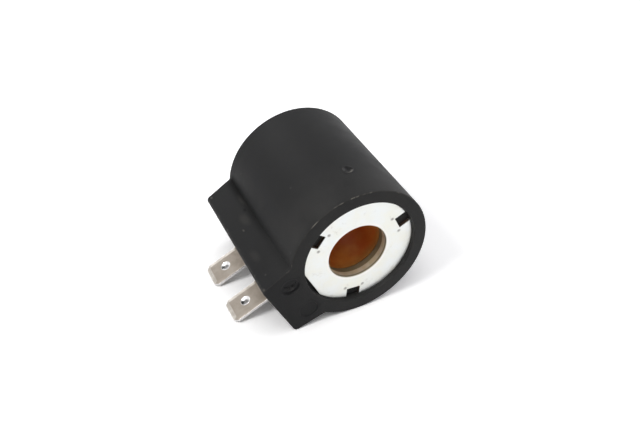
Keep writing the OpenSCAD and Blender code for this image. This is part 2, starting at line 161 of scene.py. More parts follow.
def discPatch(rim, rimAB, profile, place, firstIndex):
    # Fills a hole by rings from its rim to the profile's rings, and a middle point. The profile takes the
    # rim's angles and gives each ring's radius, depth and mark, from the outermost to the middle.
    angle = np.arctan2(rimAB[:, 1], rimAB[:, 0])
    aim = np.stack([np.cos(angle), np.sin(angle)], axis=1)
    rings = profile(angle)
    halfway = (rimAB + np.reshape(rings[0][0], (-1, 1)) * aim) / 2
    made = [place(halfway[:, 0], halfway[:, 1], 0.0)]
    count = len(rim)
    marks = [np.zeros(count)]
    for radius, depth, mark in rings[:-1]:
        made.append(place(radius * aim[:, 0], radius * aim[:, 1], depth))
        marks.append(np.full(count, mark))
    made.append(place(np.zeros(1), np.zeros(1), rings[-1][1]))
    marks.append(np.full(1, rings[-1][2]))
    indices = np.concatenate([rim[None], firstIndex + np.arange(len(rings) * count).reshape(-1, count)])
    here, after = indices[:-1], indices[1:]
    quads = np.stack([here, np.roll(here, -1, 1), np.roll(after, -1, 1), after], axis=-1).reshape(-1, 4)
    last = indices[-1]
    middle = np.full(count, firstIndex + len(rings) * count)
    fan = np.stack([last, np.roll(last, -1), middle], axis=1)
    return np.concatenate(made), np.concatenate(marks), quads, fan


def gridWithFills(points, rows, columns, fills):
    # A closed grid with its holes filled: points, quads, fans of triangles, and the fills' own marks
    pointParts, markParts, fanParts = [points], [np.zeros(len(points))], []
    quadParts = [ringFaces(rows, columns, [fill["hole"] for fill in fills])]
    for fill in fills:
        rim = holeRim(fill["hole"], columns)
        start = sum(len(part) for part in pointParts)
        added, marks, quads, fan = discPatch(rim, fill["local"](rim), fill["profile"], fill["place"], start)
        pointParts.append(added)
        markParts.append(marks)
        quadParts.append(quads)
        fanParts.append(fan)
    return [np.concatenate(parts) for parts in (pointParts, quadParts, fanParts, markParts)]


def signedVolume(points, quads):
    a, b, c, d = (points[quads[:, k]] for k in range(4))
    return np.sum(np.cross(a, b) * c) + np.sum(np.cross(a, c) * d)


def addPiece(name, node, slot, points, quads, marks, fans=None, sharp=32):
    # Puts a surface into a mesh that stands for a node; faces turn outwards by the sign of the volume.
    # Marks are attributes of the points, and 0 on the points of the fills where they are too short.
    faces = [quads] if fans is None else [quads, fans]
    if signedVolume(points, quads) < 0:
        faces = [face[:, ::-1] for face in faces]
    used, flat = np.unique(np.concatenate([face.ravel() for face in faces]), return_inverse=True)
    cuts = np.cumsum([face.size for face in faces])[:-1]
    lists = [part.reshape(face.shape).tolist() for part, face in zip(np.split(flat, cuts), faces)]
    mesh = bpy.data.meshes.new(name)
    mesh.from_pydata(points[used].tolist(), [], sum(lists, []))
    mesh.polygons.foreach_set("use_smooth", np.ones(len(mesh.polygons), bool))
    mesh.set_sharp_from_angle(angle=np.radians(sharp))
    for label, values in marks.items():
        layer = mesh.attributes.new(label, "FLOAT", "POINT")
        whole = np.zeros(len(points), np.float32)
        whole[:len(values)] = values
        layer.data.foreach_set("value", whole[used])
    mesh.update()
    piece = bpy.data.objects.new(name, mesh)
    bpy.context.scene.collection.objects.link(piece)
    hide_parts(node)
    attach(piece, "root")
    pieces.append((piece, slot))
    print("made", name, len(mesh.polygons), "faces")


# Housing
housing = {
    "blockReach": 19.75, "blockHalf": 7.65, "draft": 7.0,  # terminal block: outer face, half width, draft
    "blockShort": 0.6,  # its rear end, short of the barrel's
    "cornerR": 1.0, "filletR": 0.5, "edgeR": 0.25,  # long corners, blend onto the barrel, end edges
    "shift": 0.27,  # plate and recess off the bore, away from the block
    "mouthR": 12.34, "mouthDepth": 0.9, "lip": 0.16,  # flared recess over the flux plate
    "seatR": 12.13, "keyTop": 1.7, "keyEnd": 2.72,  # wall round the plate and the keys in its notches
    "keyHalf": 1.47, "keyIn": 9.78, "flatAt": 11.26, "notchAngles": (60, 180, 300),
    "shellR": 13.68, "pocketReach": 17.35, "pocketHalf": 5.4,
    "markR": 2.0, "markReach": 14.8, "markSide": 4.4,  # gate well and ejector marks on the block's ends
    "gateDepth": 0.35, "gateSeed": 7, "ejectorDepth": 0.12,
    "pitR": 1.05, "pitDepth": 0.34, "pitBack": 8.25, "pitAngle": 120,
    "pitRubShine": 0.5, "pitRubShineAngle": -60,  # rubbed part of a pit's edge, partly a painted highlight
    "pitGlintAngle": -74, "pitGlintAt": 0.7, "pitGlintWide": 0.35,  # painted highlight: a pale crescent inside, in shares of its radius
    "lipRubShine": 0.15, "cornerRubShine": 0.35, "rearRubShine": 0.6,  # rub and painted highlight on these edges, where a full one has 1
    "creaseWide": 1.1, "creaseFront": 0.35,  # painted shade on both sides of the blend, less at the front
    "handledW": (-4, -15), "handledU": (17, 8),  # paler towards the front end and off the block
}
plateCentre = np.array([-housing["shift"], 0.0])
pitAngles = (housing["pitAngle"], 360 - housing["pitAngle"])
pitSpan = 6.0  # finer columns on both sides of a pit's middle


def housingOutline():
    # Cross-section, from the middle of the block's outer face round the barrel: lines and arcs, with a normal
    # at each point. Also how far each point is on a long corner, and how near to the middle of the blend.
    size = housing
    slope = np.tan(np.radians(size["draft"]))
    lean = np.hypot(1, slope)
    sideNormal = 90 - size["draft"]
    halfAtAxis = size["blockHalf"] + slope * size["blockReach"]
    cornerU = size["blockReach"] - size["cornerR"]
    cornerV = halfAtAxis - slope * cornerU - size["cornerR"] * lean
    offsetHalf = halfAtAxis + size["filletR"] * lean
    reach = (bodyR + size["filletR"]) * lean
    filletU = (offsetHalf * slope + np.sqrt(reach ** 2 - offsetHalf ** 2)) / lean ** 2
    filletV = offsetHalf - slope * filletU
    barrelFrom = np.degrees(np.arctan2(filletV, filletU))
    cornerAt, filletAt = np.array([cornerU, cornerV]), np.array([filletU, filletV])

    counts = {"face": 24, "corner": 10, "side": 16, "blend": 7}
    faceV = between(0, cornerV, counts["face"])
    face = np.stack([np.full(counts["face"], size["blockReach"]), faceV], axis=1)
    cornerA = between(0, sideNormal, counts["corner"])
    corner = cornerAt + polar(size["cornerR"], cornerA)
    sideFrom = cornerAt + polar(size["cornerR"], sideNormal)
    sideTo = filletAt - polar(size["filletR"], sideNormal)
    side = sideFrom + between(0, 1, counts["side"])[:, None] * (sideTo - sideFrom)
    blendA = between(sideNormal, barrelFrom, counts["blend"])
    blend = filletAt - polar(size["filletR"], blendA)
    upper = np.concatenate([face, corner, side, blend])
    sideA = np.full(counts["side"], sideNormal)
    upperNormal = np.concatenate([np.zeros(counts["face"]), cornerA, sideA, blendA])

    # Barrel: even steps, finer over the pin pits, and a pair of columns at each wall of a key
    barrelSteps, leastStep, wallGap, pitSteps = 146, 0.6, 0.06, 19
    laterals = [way * (size["keyHalf"] + gap) for way in (-1, 1) for gap in (0, wallGap)]
    walls = np.array([chordEnd(plateCentre, size["seatR"], notch, lateral)
                      for notch in size["notchAngles"] for lateral in laterals])
    aim = unitOf(walls - plateCentre)
    out = np.sqrt((aim @ plateCentre) ** 2 + bodyR ** 2 - plateCentre @ plateCentre) - aim @ plateCentre
    atWalls = bearing(plateCentre + out[:, None] * aim)
    chosen = np.concatenate([atWalls] + [pit + np.linspace(-pitSpan, pitSpan, pitSteps) for pit in pitAngles])
    even = clearOf(np.linspace(barrelFrom, 360 - barrelFrom, barrelSteps), chosen, leastStep)
    arc = np.unique(np.concatenate([[barrelFrom], even, chosen, [360 - barrelFrom]]))

    def loop(upperValues, arcValues, mirror=1):
        # Values along the upper half of the block, round the barrel and back along the lower half
        return np.concatenate([upperValues, arcValues, upperValues[:0:-1] * mirror])

    kind = np.repeat(list(counts), list(counts.values()))
    step = np.concatenate([(np.arange(count) + 0.5) / count for count in counts.values()])
    outline = loop(upper, polar(bodyR, arc), np.array([1, -1]))
    normal = polar(1, loop(upperNormal, arc, -1))
    onCorner = loop(np.where(kind == "corner", np.sin(np.pi * step), 0), np.zeros(len(arc)))
    crease = blend[counts["blend"] // 2]
    folded = np.stack([outline[:, 0], np.abs(outline[:, 1])], axis=1)
    apart = np.linalg.norm(folded - crease, axis=1)
    return outline, normal, onCorner, np.exp(-(apart / size["creaseWide"]) ** 2)


# Rings of the marks in the housing, from outside in: radius, depth, rubbed mark (rub and painted highlight)
def gateProfile(angle):
    # Gate well: a broken edge, a groove deepest on one side, and a rough stub standing in the middle
    r, depth = housing["markR"], housing["gateDepth"]
    rough = np.random.default_rng(housing["gateSeed"]).standard_normal((4, len(angle)))
    deep = 0.5 - 0.5 * np.sin(angle)
    floor = depth * (0.15 + 0.85 * deep)
    edge = [(r + 0.12, 0.0, 0.0), (r + 0.06, -0.01 * deep, 0.0), (r, 0.01, 0.1 * deep)]
    groove = [(r - 0.06, 0.3 * floor, 0.0), (r - 0.14, 0.9 * floor, 0.0), (r - 0.3, floor, 0.0),
              (r - 0.55, 0.95 * floor + 0.02 * rough[0], 0.0)]
    stub = [(r * 0.62, 0.6 * floor + 0.03 * rough[1], 0.0), (r * 0.45, 0.35 * floor + 0.04 * rough[2], 0.15),
            (r * 0.25, 0.5 * floor + 0.04 * rough[3], 0.15), (0, depth * 0.25, 0.0)]
    return edge + groove + stub


def ejectorProfile(angle):
    # Ejector mark: a low step to a flat floor
    r, depth = housing["markR"], housing["ejectorDepth"]
    step = [(r + 0.06, 0.0, 0.0), (r + 0.02, 0.01, 0.2), (r - 0.02, depth * 0.5, 0.0), (r - 0.05, depth, 0.0)]
    return step + [(r * 0.6, depth, 0.0), (0, depth, 0.0)]


def pitProfile(angle):
    # Pit left by a round-nosed pin, with a slightly raised, rubbed edge whose mark is brightest on one side,
    # partly a painted highlight
    r, depth = housing["pitR"], housing["pitDepth"]
    noseR = (r ** 2 + depth ** 2) / (2 * depth)
    facing = np.maximum(0, np.cos(angle - np.radians(housing["pitRubShineAngle"])))
    rubbedShine = housing["pitRubShine"] * facing ** 2
    edge = [(r + 0.14, 0.0, 0.0), (r + 0.08, -0.015, 0.15), (r + 0.03, -0.01, 0.2 + rubbedShine),
            (r, 0.03, rubbedShine)]
    bowl = [(step, depth - noseR + np.sqrt(noseR ** 2 - step ** 2), rubbedShine * (step > 0.55 * r))
            for step in np.linspace(r, 0, 9)[1:-1]]
    return edge + bowl + [(0, depth, 0.0)]


def makeHousing():
    # Grid of the cross-section's columns by rows that run from the front plate's seat over the end face,
    # along the outside and back to the rear seat. Holes in the grid are filled with the pits and marks.
    size = housing
    outline, normal, onCorner, inBlend = housingOutline()
    columns = len(outline)
    angle = bearing(outline)
    unit = polar(1, angle)
    aim = unitOf(outline - plateCentre)
    blockEnd = faceW - size["blockShort"]
    edgeR, lip = size["edgeR"], size["lip"]
    quarter = np.radians(np.linspace(0, 90, 8))
    faceSteps = np.concatenate([[0.05, 0.12], np.linspace(0.2, 0.92, 13), [0.96]])
    blockSteps = np.concatenate([[0.05], np.linspace(0.12, 0.88, 9), [0.985, 1.0]])
    rows = []

    def add(ring, w, mark=0.0):
        rows.append((ring, w, mark))
        return len(rows) - 1

    def about(radius):
        return plateCentre + np.reshape(radius, (-1, 1)) * aim

    # Keys: the flat's key is cut square to u, a notch's key ends square to its own direction
    seat = about(size["seatR"])
    keyRing = seat.copy()
    keyRing[:, 0] = np.minimum(seat[:, 0], size["flatAt"])
    for notch in size["notchAngles"]:
        along, across = axesAt(notch)
        lateral = seat @ across
        inKey = (seat @ along > 0) & (np.abs(lateral) < size["keyHalf"] + 0.01)
        keyRing[inKey] = (size["keyIn"] * along + lateral[:, None] * across)[inKey]

    # Recess: rings, depths and marks from its lip to the pocket round the shell
    pocket = about(squaredOff(aim, size["shellR"], size["pocketReach"] + size["shift"], size["pocketHalf"]))
    wallU, wallD = size["mouthR"] - size["seatR"], size["mouthDepth"]
    wallL = np.hypot(wallU, wallD)
    recess = []
    for t in np.linspace(0, 1, 5):
        outward = lip * (1 - t) ** 2 - t ** 2 * lip * wallU / wallL
        rubShine = size["lipRubShine"] * np.sin(np.pi * t)
        recess.append((about(size["mouthR"] + outward), t ** 2 * lip * wallD / wallL, rubShine))
    for t in (0.5, 1.0):
        recess.append((about(size["mouthR"] - t * wallU), t * wallD, 0.0))
    shortest = 0.05  # what is left of a row where it has no length of its own
    betweenKeys = np.linalg.norm(seat - keyRing, axis=1) < shortest
    recess += [(seat, size["keyTop"], 0.0), (keyRing, size["keyTop"] + shortest * betweenKeys, 0.0),
               (keyRing, size["keyEnd"], 0.0), (pocket, size["keyEnd"], 0.0)]
    lipRing = recess[0][0]

    # Front end, from the pocket outwards: block and barrel end in one face
    edged = outline - edgeR * normal
    for ring, depth, mark in recess[::-1]:
        add(ring, depth - faceW, mark)
    frontFace = [add(edged + step * (lipRing - edged), -faceW) for step in faceSteps[::-1]][::-1]
    # Front edge, rounded: its mark is rub and a painted highlight
    for a in quarter[::-1]:
        add(outline - edgeR * (1 - np.cos(a)) * normal, edgeR * (1 - np.sin(a)) - faceW, np.sin(2 * a) ** 2)

    # Outside, finer over the pin pits
    pitW = size["pitBack"] - faceW
    pitReach, clearance = 1.5, 0.4
    fine = pitW + np.linspace(-pitReach, pitReach, 13)
    even = np.linspace(edgeR - faceW, blockEnd - edgeR, 36)[1:-1]
    even = clearOf(even, pitW, pitReach + clearance)
    skin = {w: add(outline, w, size["cornerRubShine"] * onCorner) for w in np.sort(np.concatenate([fine, even]))}

    # Rear end: the block's end edge and face, then the step up the barrel, its edge and its face
    barrelRing = bodyR * unit
    proud = np.linalg.norm(outline, axis=1) - bodyR
    onBarrel = proud < 0.01
    rounded = np.minimum(edgeR, 0.9 * np.maximum(proud, 0))[:, None]
    for a in quarter:
        add(outline - rounded * (1 - np.cos(a)) * normal, blockEnd - edgeR * (1 - np.sin(a)),
            size["rearRubShine"] * ~onBarrel * np.sin(2 * a) ** 2)
    blockEdge = rows[-1][0]
    rearFace = [add(blockEdge + step * (barrelRing - blockEdge), blockEnd + shortest * step * onBarrel)
                for step in blockSteps]
    for step in (0.35, 0.7):
        add(barrelRing, blockEnd + shortest + step * (size["blockShort"] - edgeR - shortest))
    for a in quarter:
        add((bodyR - edgeR * (1 - np.cos(a))) * unit, faceW - edgeR * (1 - np.sin(a)), np.sin(2 * a) ** 2)
    rearEdge = (bodyR - edgeR) * unit
    for step in np.linspace(0, 1, 7)[1:-1]:
        add(rearEdge + step * (lipRing - rearEdge), faceW)
    for ring, depth, mark in recess:
        add(ring, faceW - depth, mark)

    uv = np.stack([row[0] for row in rows])
    w = stacked(rows, 1, columns)
    flatUV, flatW = uv.reshape(-1, 2), w.ravel()
    points = toRow(uv[..., 0], uv[..., 1], w).reshape(-1, 3)

    # Holes: the block of cells round each mark and pit
    fills = []

    def addMark(u, v, span, rowPair, level, profile):
        centre = np.array([u, v])
        left, right = np.searchsorted(angle, bearing(centre) + np.array([-span, span]))
        fills.append(flatFill((*sorted(rowPair), left, right), profile, flatUV, centre, level))

    def addPit(middle):
        # From the plane of the pit round the barrel: a across, b along the bore
        left, right = np.searchsorted(angle, middle + np.array([0.1 - pitSpan, pitSpan - 0.3]))
        fills.append({
            "hole": (skin[fine[0]], skin[fine[-1]], left, right), "profile": pitProfile,
            "local": lambda rim: np.stack([np.radians(bearing(flatUV[rim]) - middle) * bodyR,
                                           flatW[rim] - pitW], axis=1),
            "place": lambda a, b, d: toRow(*polar(bodyR - d, middle + np.degrees(a / bodyR)).T, pitW + b)})

    frontSpan, rearSpan = 8.8, 7.9
    rearReach = np.sqrt((bodyR + size["markR"] + edgeR) ** 2 - size["markSide"] ** 2)
    for side, profile, pitAngle in zip((1, -1), (gateProfile, ejectorProfile), pitAngles):
        markV = side * size["markSide"]
        addMark(size["markReach"], markV, frontSpan, (frontFace[3], frontFace[14]), -faceW, profile)
        addMark(rearReach, markV, rearSpan, (rearFace[0], rearFace[-2]), blockEnd, ejectorProfile)
        addPit(pitAngle)

    # Marks for the material: rubbed edges with a painted highlight, painted shade in the blend, handled end,
    # polished pits with a painted highlight crescent on one side
    points, quads, fans, fillMarks = gridWithFills(points, len(rows), columns, fills)
    edge = stacked(rows, 2, columns).ravel()
    edge = np.maximum(np.pad(edge, (0, len(points) - len(edge))), fillMarks)
    onSkin = np.isin(np.arange(len(rows)), list(skin.values()))
    # Painted shade along the blend, weaker towards the front end
    backward = np.clip(w / faceW + 0.55, 0, 1)
    creaseShade = size["creaseFront"] + (1 - size["creaseFront"]) * backward
    crease = (inBlend[None] * onSkin[:, None] * creaseShade).ravel()
    handled = (fade(w, *size["handledW"]) * fade(uv[..., 0], *size["handledU"])).ravel()
    polish, pitGlint = np.zeros((2, len(points)))
    # Pin pits: smoother inside, with a painted highlight crescent on one side
    for pitAngle in pitAngles:
        offset = (points - toRow(*polar(bodyR, pitAngle), pitW)) / mm
        inPit = np.linalg.norm(offset, axis=1) < size["pitR"] + 0.05
        a, b = offset @ toRow(*polar(1, pitAngle + 90), 0.0) / mm, offset @ wAxis
        facing = np.clip(np.cos(np.arctan2(b, a) - np.radians(size["pitGlintAngle"])), 0, 1)
        offRing = np.abs(np.hypot(a, b) / size["pitR"] - size["pitGlintAt"])
        polish += inPit
        pitGlint += inPit * facing * np.clip(1 - offRing / size["pitGlintWide"], 0, 1)
    marks = {"edge": edge, "crease": crease, "polish": polish, "pitGlint": pitGlint, "handled": handled}
    addPiece("housing_shell", "moulded_housing", "black_nylon", points, quads, marks, fans)


# Flux plates
plate = {
    "r": 12.1, "holeR": 6.43, "thick": 3.0, "recess": 0.9,
    "notchHalf": 1.5, "notchIn": 9.75, "flatAt": 11.23,
    "roll": 0.12, "holeRoll": 0.24, "backRound": 0.06,  # edges rounded by the punch, and at the back
    "land": 1.6, "breakOut": 0.08, "burr": 0.05,  # smooth part of the hole's wall, then a torn one
    "tornSeed": 11, "tornRough": 0.02,
    "burnish": 0.3,  # how much brighter the land is in streaks
    "stakeR": 0.25, "stakeDepth": 0.15, "stakeAt": (9.25, 2.0),  # pits on both sides of each notch
}


def plateOutline():
    # Outline with its flat and notches, and the angle at the hole that each point's column starts from.
    # Columns spread from the hole so that none of them crosses a notch.
    size = plate
    span, cornerSpan = 22.0, 13.5  # columns of a notch at the hole: to its mouth and to its floor's corners
    flatSteps, wallSteps, floorSteps, arcStep = 12, 7, 10, 1.5
    flatHalf = np.sqrt(size["r"] ** 2 - (size["flatAt"] + housing["shift"]) ** 2)
    points, starts, cut = [], [], []
    knots, targets = [0.0], [0.0]

    def addRun(run, start, isCut):
        points.append(run)
        starts.append(start)
        cut.append(np.full(len(run), isCut))

    def addArc(first, last):
        # From one point of the edge to the next, round the plate's own centre
        turn = bearing(np.stack([first, last]) - plateCentre)
        run = plateCentre + polar(size["r"], between(*turn, int((turn[1] - turn[0]) / arcStep)))
        addRun(run, bearing(run), 0.0)

    def addNotch(notch, first, last):
        along, across = axesAt(notch)
        inTo, outTo, floor = first @ along, last @ along, size["notchIn"]
        step = between(0, 1, wallSteps)
        out = [inTo + step * (floor - inTo), np.full(floorSteps, floor), floor + step * (outTo - floor)]
        lateral = [np.full(wallSteps, -1), between(-1, 1, floorSteps), np.full(wallSteps, 1)]
        fan = [-span + step * (span - cornerSpan), between(-cornerSpan, cornerSpan, floorSteps),
               cornerSpan + step * (span - cornerSpan)]
        out, lateral, fan = (np.concatenate(parts) for parts in (out, lateral, fan))
        addRun(out[:, None] * along + (lateral * size["notchHalf"])[:, None] * across, notch + fan, 1.0)

    flat = np.stack([np.full(flatSteps, size["flatAt"]), between(0, flatHalf, flatSteps)], axis=1)
    addRun(flat, bearing(flat), 0.0)
    corner = np.array([size["flatAt"], flatHalf])
    for notch in housing["notchAngles"]:
        first, last = (chordEnd(plateCentre, size["r"], notch, way * size["notchHalf"]) for way in (-1, 1))
        addArc(corner, first)
        addNotch(notch, first, last)
        knots += [bearing(first), bearing(last)]
        targets += [notch - span, notch + span]
        corner = last
    end = np.array([size["flatAt"], -flatHalf])
    addArc(corner, end)
    back = np.concatenate([[end], flat[:0:-1] * np.array([1, -1])])
    addRun(back, bearing(back), 0.0)

    # Columns of the arcs give way evenly to the spread at the notches
    start, cut = np.concatenate(starts), np.concatenate(cut)
    start = np.where(cut > 0, start, np.interp(start, knots + [360.0], targets + [360.0]))
    return np.concatenate(points), start, cut


def stakeProfile(angle):
    # Stake pit: a raised rim and a cone, as rings with radius, depth and mark
    r, depth = plate["stakeR"], plate["stakeDepth"]
    return [(r + 0.2, 0.0, 0.15), (r + 0.12, -0.01, 0.4), (r + 0.04, -0.015, 0.6), (r * 0.9, 0.01, 0.8),
            (r * 0.5, depth * 0.55, 1.0), (0, depth, 1.0)]


def makePlate(end):
    # Grid of the outline's columns by rows that run from the hole's wall over the face, down the edge and
    # back under the plate
    size = plate
    outline, start, cut = plateOutline()
    columns = len(outline)
    holeUnit = polar(1, start)
    torn = size["tornRough"] * np.random.default_rng(size["tornSeed"]).standard_normal(columns)
    turn = np.radians(start)
    burnish = 1 - size["burnish"] * np.maximum(0, np.sin(5 * turn + 1) * np.sin(13 * turn))
    holeR, holeRoll, land, back = size["holeR"], size["holeRoll"], size["land"], size["thick"]
    mouthR, tornR = holeR + holeRoll, holeR + size["breakOut"]
    backR = tornR + size["burr"]
    rows = []

    def add(ring, depth, **marks):
        rows.append((ring, depth, marks))
        return len(rows) - 1

    def hole(radius, depth, **marks):
        add(np.reshape(radius, (-1, 1)) * holeUnit, depth, **marks)

    # Wall of the hole from the back: torn break-out, smooth land, rolled edge
    hole(backR, back, torn=1)
    hole(tornR + torn, back - 0.08, torn=1)
    hole(tornR - 0.02 + np.roll(torn, 3), back * 0.82, torn=1)
    hole(tornR - 0.03 + np.roll(torn, 7), back * 0.66, torn=1)
    hole(holeR + 0.035, land + 0.1 + torn, torn=1)
    hole(holeR, land + torn, land=1)
    hole(holeR, land * 0.75, land=burnish)
    hole(holeR, holeRoll + 0.45, land=burnish)
    hole(holeR, holeRoll + 0.2, torn=0.9)
    # Rolled edge: its steep part takes the torn wall's dark tone, a painted reflection
    for a in np.radians(np.linspace(0, 90, 7)):
        hole(holeR + holeRoll * (1 - np.cos(a)), holeRoll * (1 - np.sin(a)),
             rim=np.sin(a) ** 4, torn=np.cos(a) ** 2)
    hole(mouthR + 0.25, 0.0, rim=1)

    # Face, rolled outer edge, side and underside
    inner, outer = mouthR * holeUnit, inset(outline, size["roll"])
    face = [add(inner + step * (outer - inner), 0.0) for step in np.linspace(0, 1, 22)[2:]]
    for a in np.radians(np.linspace(90, 0, 6)[1:]):
        add(inset(outline, size["roll"] * (1 - np.cos(a))), size["roll"] * (1 - np.sin(a)))
    for depth in (0.3, back - size["backRound"]):
        add(outline, depth, cut=cut)
    under = inset(outline, size["backRound"])
    for step in (0.0, 0.3, 0.6):
        add(under + step * (backR * holeUnit - under), back)

    uv = np.stack([row[0] for row in rows])
    level = ends[end] * (faceW - size["recess"])
    points = toRow(uv[..., 0], uv[..., 1], level - ends[end] * stacked(rows, 1, columns)).reshape(-1, 3)

    # Stake pits: cells round the nearest point of the face
    fills = []
    top, bottom = face[2], face[-3]
    for notch in housing["notchAngles"]:
        along, across = axesAt(notch)
        for way in (-1, 1):
            centre = size["stakeAt"][0] * along + way * size["stakeAt"][1] * across
            gaps = np.linalg.norm(uv[top:bottom] - centre, axis=-1)
            row, column = np.unravel_index(np.argmin(gaps), gaps.shape)
            cells = (top + row - 2, top + row + 2, column - 3, column + 3)
            fills.append(flatFill(cells, stakeProfile, uv.reshape(-1, 2), centre, level))
    points, quads, fans, stake = gridWithFills(points, len(rows), columns, fills)
    marks = {label: np.concatenate([np.broadcast_to(row.get(label, 0.0), columns) for _, _, row in rows])
             for label in ("rim", "land", "torn", "cut")}
    marks["stake"] = stake
    addPiece(end + "_plate", end + "_flux_plate", "zinc_plate", points, quads, marks, fans)


# Terminals
terminal = {
    "half": 3.175, "thick": 0.8, "tip": 28.9, "chamfer": 0.9,  # blade
    "bevelWide": 0.9, "bevelDeep": 0.2, "bevelFrom": 21.05, "bevelRun": 0.25, "edgeR": 0.05,
    "holeR": 0.95, "holeU": 24.75, "coined": (0.5, 1.05),  # detent hole: its throat and its rim
    "shoulder": 17.28, "footHalf": 1.7, "footEnd": 12.78,  # inside the block
    "tagLow": 15.28, "tagHigh": 16.48, "tagReach": 12.175,
    "v": -2.5, "w": {"front": -6.475, "rear": 5.175}, "step": 0.35,
    "tarnish": (24.0, 19.8),  # dulled down to the block
    "frontRubShine": 0.05, "frontBevel": 0.3,  # less rubbed, with less painted highlight, and less bevelled in front
}


def terminalOutline(end):
    # Outline and, for each of its points, the point of an inner ring where the flat of the blade begins
    size = terminal
    inTo, near, far, small = 0.35, 0.2, 0.4, 0.06  # how far inner corners keep from the outline
    half, tip, cut, bevel = size["half"], size["tip"], size["chamfer"], size["bevelWide"]
    flat, inTip = half - bevel, tip - bevel
    tagTo = abs(ends[end] * size["tagReach"] - size["w"][end])
    foot, footIn, footEnd = size["footHalf"], size["footHalf"] - inTo, size["footEnd"]
    low, high, shoulder = size["tagLow"], size["tagHigh"], size["shoulder"]
    plain, rampTo = size["bevelFrom"], size["bevelFrom"] + size["bevelRun"]

    # Corners of the outline, each with its inner one: the tag's side up to the tip, then the plain side
    tagged = [((footEnd, 0), (footEnd + far, 0)), ((footEnd, foot), (footEnd + far, footIn)),
              ((low, foot), (low + near, footIn)), ((low, tagTo), (low + far, footIn)),
              ((high, tagTo), (high - far, footIn)), ((high, foot), (high - near, footIn)),
              ((shoulder, foot), (shoulder, footIn))]
    blade = [((shoulder, half), (shoulder + far, flat)), ((plain, half), (plain, flat)),
             ((rampTo, half), (rampTo, flat)), ((tip - cut, half), (inTip - small, flat)),
             ((tip, half - cut), (inTip, flat - small))]
    there = np.array(tagged + blade + [((tip, 0), (inTip, 0))], float)
    back = np.array((tagged[1:2] + tagged[-1:] + blade)[::-1], float) * np.array([1, -1])
    corners = np.concatenate([there, back])
    after = np.roll(corners, -1, axis=0)
    counts = np.maximum(2, np.linalg.norm(after[:, 0] - corners[:, 0], axis=1) / size["step"]).astype(int)
    drawn = np.concatenate([a + between(0, 1, count)[:, None, None] * (b - a)
                            for a, b, count in zip(corners, after, counts)])
    return drawn[:, 0], drawn[:, 1]


def makeTerminal(end):
    # Grid of the outline's columns by rows that run from the hole over the top, down the coined edge and back
    # along the underside
    size = terminal
    loop, loopIn = (ring[::-1] for ring in terminalOutline(end))
    columns = len(loop)
    middle = np.array([size["holeU"], 0])
    holeUnit = unitOf(loopIn - middle)
    halfT, edgeR = size["thick"] / 2, size["edgeR"]
    softR = edgeR * 0.3
    sideward = -ends[end] * loop[:, 1] / size["half"]  # 1 on the front side of the blade
    onFront = fade(sideward, 1 - size["chamfer"] / size["half"], 1)
    bevelled = np.clip((loop[:, 0] - size["bevelFrom"]) / size["bevelRun"], 0, 1)
    bevelled *= 1 - (1 - size["frontBevel"]) * onFront
    edgeT = halfT - size["bevelDeep"] * bevelled
    edgeIn, softIn = inset(loop, edgeR), inset(loop, softR)
    # Rub and painted highlight on the edges, less on the front side
    rubShine = np.where(sideward > 0.8, size["frontRubShine"], 1.0)
    bevelRubShine = 0.5 * bevelled * rubShine

    # Rings with height above the middle, rubbed edge with a painted highlight and bare cut metal with a
    # painted
    # reflection: the hole coined from this face, the flat, the bevel and the edge
    throat, rim = size["coined"]
    top = [(middle + (throat + (rim - throat) * t ** 1.2) * holeUnit, halfT * (0.1 + 0.9 * t), 0.0, 1.0)
           for t in np.linspace(0, 1, 7)]
    top += [
        (middle + (rim + 0.04) * holeUnit, halfT, 0.0, 0.4),
        (middle + (rim + 0.12) * holeUnit, halfT, 0.0, 0.0),
        (0.5 * (loopIn + middle + size["holeR"] * holeUnit), halfT, 0.0, 0.0),
        (loopIn - 0.03 * holeUnit, halfT, 0.0, 0.0),
        (loopIn + 0.03 * holeUnit, halfT - 0.03 * bevelled * size["bevelDeep"], bevelRubShine, 0.0),
        (0.5 * (loopIn + edgeIn), 0.5 * (halfT + edgeT), bevelRubShine, 0.0),
        (edgeIn, edgeT, rubShine, 0.0),
        (softIn, edgeT - softR, rubShine, 0.4),
        (loop, edgeT - edgeR, 0.0, 0.8),
    ]
    rows = top + [(ring, -height, edge, bareShine) for ring, height, edge, bareShine in top[::-1]]
    uw = np.stack([row[0] for row in rows])
    v = stacked(rows, 1, columns) + size["v"]
    # The tag's side of the outline faces the end of the coil
    points = toRow(uw[..., 0], v, size["w"][end] + ends[end] * uw[..., 1]).reshape(-1, 3)
    marks = {"tarnish": fade(uw[..., 0], *size["tarnish"]).ravel(), "edge": stacked(rows, 2, columns).ravel(),
             "bareShine": stacked(rows, 3, columns).ravel()}
    addPiece(end + "_blade_terminal", end + "_terminal", "tinned_brass", points,
             ringFaces(len(rows), columns), marks, sharp=25)


# Bobbin
bobbin = {
    "boreR": mounts["bore"]["dims"]["r_mm"], "tubeR": 7.4, "half": 12.45, "window": 11.15,
    "flangeR": 11.73, "lugReach": 13.38, "lugHalf": 5.1, "edge": 0.12,
    "shaded": 0.35, "shadedSwing": 0.25, "shadedAngle": 225,  # darker ends of the bore, most on one side
}


